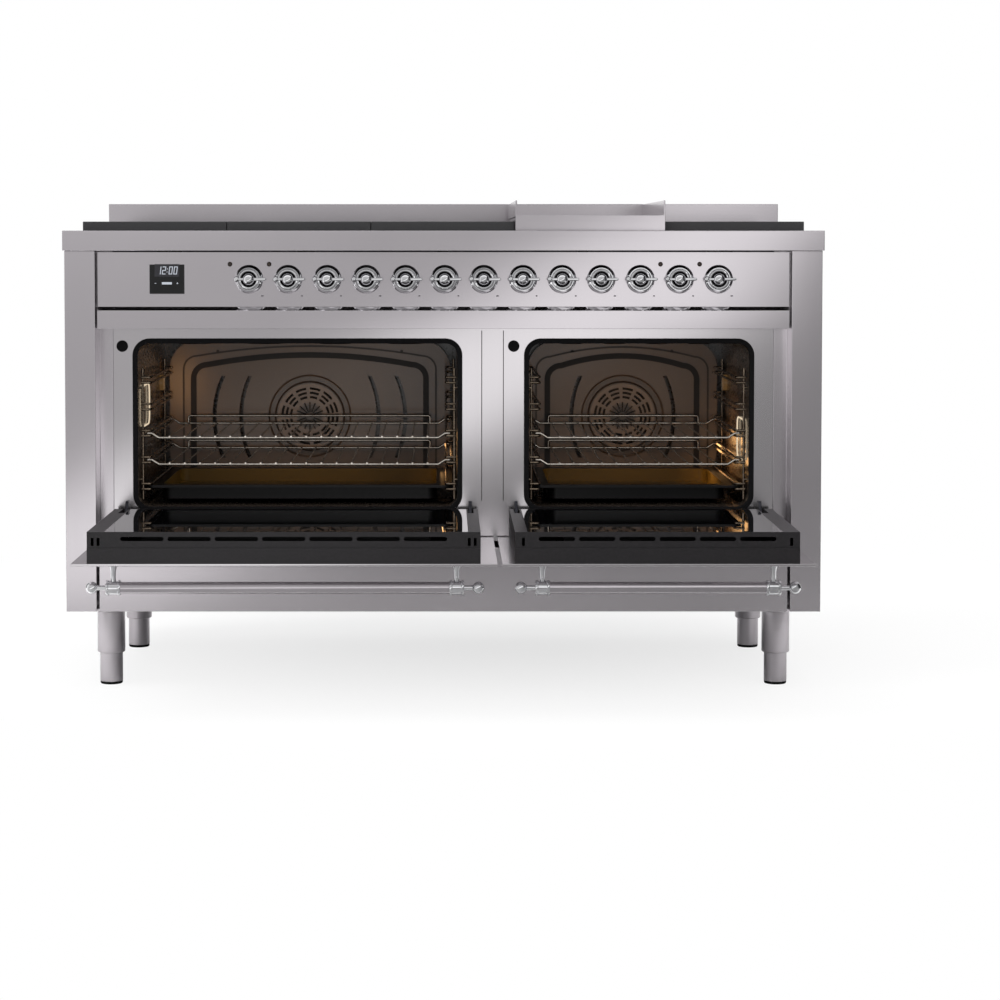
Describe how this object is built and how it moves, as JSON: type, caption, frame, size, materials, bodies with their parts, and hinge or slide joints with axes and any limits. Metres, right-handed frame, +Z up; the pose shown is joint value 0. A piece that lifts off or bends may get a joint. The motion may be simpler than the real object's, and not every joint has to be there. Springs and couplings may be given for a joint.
{
  "type": "dual fuel range cooker",
  "caption": "Wide free-standing dual fuel range cooker: stainless body on legs, gas burners with a griddle, two ovens with drop-down doors and a storage drawer.",
  "frame": {"origin": "on the floor, at the middle of the space the cooker takes with both doors open", "axes": "+X to the right seen from the front, +Y to the back wall, +Z up; the front faces -Y"},
  "size_m": [1.52, 1.069, 0.983],
  "materials": {
    "brushed_stainless": "brushed, satin",
    "polished_stainless": "bright annealed",
    "satin_steel": "satin, round ground",
    "plain_steel": "mill finish, zinc coated",
    "chrome": "polished",
    "knob_metal": "satin plated die casting",
    "chromed_wire": "plated wire",
    "black_steel": "blackened",
    "black_enamel": "gloss vitreous enamel",
    "dark_enamel": "speckled vitreous enamel",
    "element_sheath": "oxidised sheath",
    "dark_glass": "dark reflective",
    "lamp_glass": "frosted, warm",
    "clock_glass": "gloss black",
    "lamp_lens": "clear amber",
    "black_rubber": "matt",
    "cast_aluminium": "cast, matt",
    "brass": "machined",
    "cast_iron": "matt black enamel"
  },
  "bodies": {
    "root": {"worktop": "brushed_stainless", "backguard": "brushed_stainless", "side_panels": "brushed_stainless", "control_panel": "brushed_stainless", "front_rail": "brushed_stainless", "oven_fronts": "polished_stainless", "door_gaskets": "black_rubber", "fan_covers": "dark_enamel", "fan_motors": "plain_steel", "oven_elements": "element_sheath", "oven_lamps": "lamp_glass", "rack_rails": "chromed_wire", "hinge_arms": "black_steel", "knob_bezels": "chrome", "clock_module": "clock_glass", "indicator_lamps": "lamp_lens", "control_valves": "plain_steel", "burner_bases": "cast_aluminium", "burner_caps": "brass", "pan_supports": "cast_iron", "griddle_plate": "brushed_stainless", "drawer_runners": "plain_steel", "base_panel": "plain_steel", "back_panel": "plain_steel", "legs": "satin_steel", "left_oven_cavity": "dark_enamel", "right_oven_cavity": "dark_enamel"},
    "left_door": {"left_door_skin": "brushed_stainless", "left_door_liner": "black_enamel", "left_door_glass": "dark_glass", "left_door_window": "dark_glass", "left_door_handle": "satin_steel"},
    "right_door": {"right_door_skin": "brushed_stainless", "right_door_liner": "black_enamel", "right_door_glass": "dark_glass", "right_door_window": "dark_glass", "right_door_handle": "satin_steel"},
    "knob_01": {"knob_01": "knob_metal"},
    "knob_02": {"knob_02": "knob_metal"},
    "knob_03": {"knob_03": "knob_metal"},
    "knob_04": {"knob_04": "knob_metal"},
    "knob_05": {"knob_05": "knob_metal"},
    "knob_06": {"knob_06": "knob_metal"},
    "knob_07": {"knob_07": "knob_metal"},
    "knob_08": {"knob_08": "knob_metal"},
    "knob_09": {"knob_09": "knob_metal"},
    "knob_10": {"knob_10": "knob_metal"},
    "knob_11": {"knob_11": "knob_metal"},
    "knob_12": {"knob_12": "knob_metal"},
    "knob_13": {"knob_13": "knob_metal"},
    "left_fan": {"left_fan": "plain_steel"},
    "right_fan": {"right_fan": "plain_steel"},
    "left_upper_rack": {"left_upper_rack": "chromed_wire"},
    "left_lower_rack": {"left_lower_rack": "chromed_wire"},
    "left_tray": {"left_tray": "black_enamel"},
    "right_upper_rack": {"right_upper_rack": "chromed_wire"},
    "right_lower_rack": {"right_lower_rack": "chromed_wire"},
    "right_tray": {"right_tray": "black_enamel"},
    "drawer": {"drawer_front": "brushed_stainless", "drawer_box": "plain_steel"}
  },
  "joints": [
    {"name": "left_door_hinge", "type": "hinge", "parent": "root", "child": "left_door", "pos_m": [0, -0.1375, 0.324], "axis": [1, 0, 0], "range_deg": [-90, 0]},
    {"name": "right_door_hinge", "type": "hinge", "parent": "root", "child": "right_door", "pos_m": [0, -0.1375, 0.324], "axis": [1, 0, 0], "range_deg": [-90, 0]},
    {"name": "knob_01_turn", "type": "hinge", "parent": "root", "child": "knob_01", "pos_m": [-0.389, -0.1755, 0.823], "axis": [0, -1, 0], "range_deg": [-330, 0]},
    {"name": "knob_02_turn", "type": "hinge", "parent": "root", "child": "knob_02", "pos_m": [-0.3107, -0.1755, 0.823], "axis": [0, -1, 0], "range_deg": [-270, 0]},
    {"name": "knob_03_turn", "type": "hinge", "parent": "root", "child": "knob_03", "pos_m": [-0.2324, -0.1755, 0.823], "axis": [0, -1, 0], "range_deg": [0, 210]},
    {"name": "knob_04_turn", "type": "hinge", "parent": "root", "child": "knob_04", "pos_m": [-0.1541, -0.1755, 0.823], "axis": [0, -1, 0], "range_deg": [0, 210]},
    {"name": "knob_05_turn", "type": "hinge", "parent": "root", "child": "knob_05", "pos_m": [-0.0758, -0.1755, 0.823], "axis": [0, -1, 0], "range_deg": [0, 210]},
    {"name": "knob_06_turn", "type": "hinge", "parent": "root", "child": "knob_06", "pos_m": [0.0025, -0.1755, 0.823], "axis": [0, -1, 0], "range_deg": [0, 210]},
    {"name": "knob_07_turn", "type": "hinge", "parent": "root", "child": "knob_07", "pos_m": [0.0808, -0.1755, 0.823], "axis": [0, -1, 0], "range_deg": [0, 210]},
    {"name": "knob_08_turn", "type": "hinge", "parent": "root", "child": "knob_08", "pos_m": [0.1591, -0.1755, 0.823], "axis": [0, -1, 0], "range_deg": [0, 210]},
    {"name": "knob_09_turn", "type": "hinge", "parent": "root", "child": "knob_09", "pos_m": [0.2374, -0.1755, 0.823], "axis": [0, -1, 0], "range_deg": [0, 210]},
    {"name": "knob_10_turn", "type": "hinge", "parent": "root", "child": "knob_10", "pos_m": [0.3157, -0.1755, 0.823], "axis": [0, -1, 0], "range_deg": [0, 210]},
    {"name": "knob_11_turn", "type": "hinge", "parent": "root", "child": "knob_11", "pos_m": [0.394, -0.1755, 0.823], "axis": [0, -1, 0], "range_deg": [0, 210]},
    {"name": "knob_12_turn", "type": "hinge", "parent": "root", "child": "knob_12", "pos_m": [0.4723, -0.1755, 0.823], "axis": [0, -1, 0], "range_deg": [-330, 0]},
    {"name": "knob_13_turn", "type": "hinge", "parent": "root", "child": "knob_13", "pos_m": [0.5506, -0.1755, 0.823], "axis": [0, -1, 0], "range_deg": [-270, 0]},
    {"name": "left_fan_spin", "type": "hinge", "parent": "root", "child": "left_fan", "pos_m": [-0.2958, 0.3945, 0.512], "axis": [0, 1, 0], "continuous": true},
    {"name": "right_fan_spin", "type": "hinge", "parent": "root", "child": "right_fan", "pos_m": [0.39675, 0.3945, 0.512], "axis": [0, 1, 0], "continuous": true},
    {"name": "left_upper_rack_slide", "type": "slide", "parent": "root", "child": "left_upper_rack", "axis": [0, -1, 0], "range_m": [0, 0.35]},
    {"name": "left_lower_rack_slide", "type": "slide", "parent": "root", "child": "left_lower_rack", "axis": [0, -1, 0], "range_m": [0, 0.35]},
    {"name": "left_tray_slide", "type": "slide", "parent": "root", "child": "left_tray", "axis": [0, -1, 0], "range_m": [0, 0.35]},
    {"name": "right_upper_rack_slide", "type": "slide", "parent": "root", "child": "right_upper_rack", "axis": [0, -1, 0], "range_m": [0, 0.35]},
    {"name": "right_lower_rack_slide", "type": "slide", "parent": "root", "child": "right_lower_rack", "axis": [0, -1, 0], "range_m": [0, 0.35]},
    {"name": "right_tray_slide", "type": "slide", "parent": "root", "child": "right_tray", "axis": [0, -1, 0], "range_m": [0, 0.35]},
    {"name": "drawer_slide", "type": "slide", "parent": "root", "child": "drawer", "axis": [0, -1, 0], "range_m": [0, 0.285]}
  ]
}
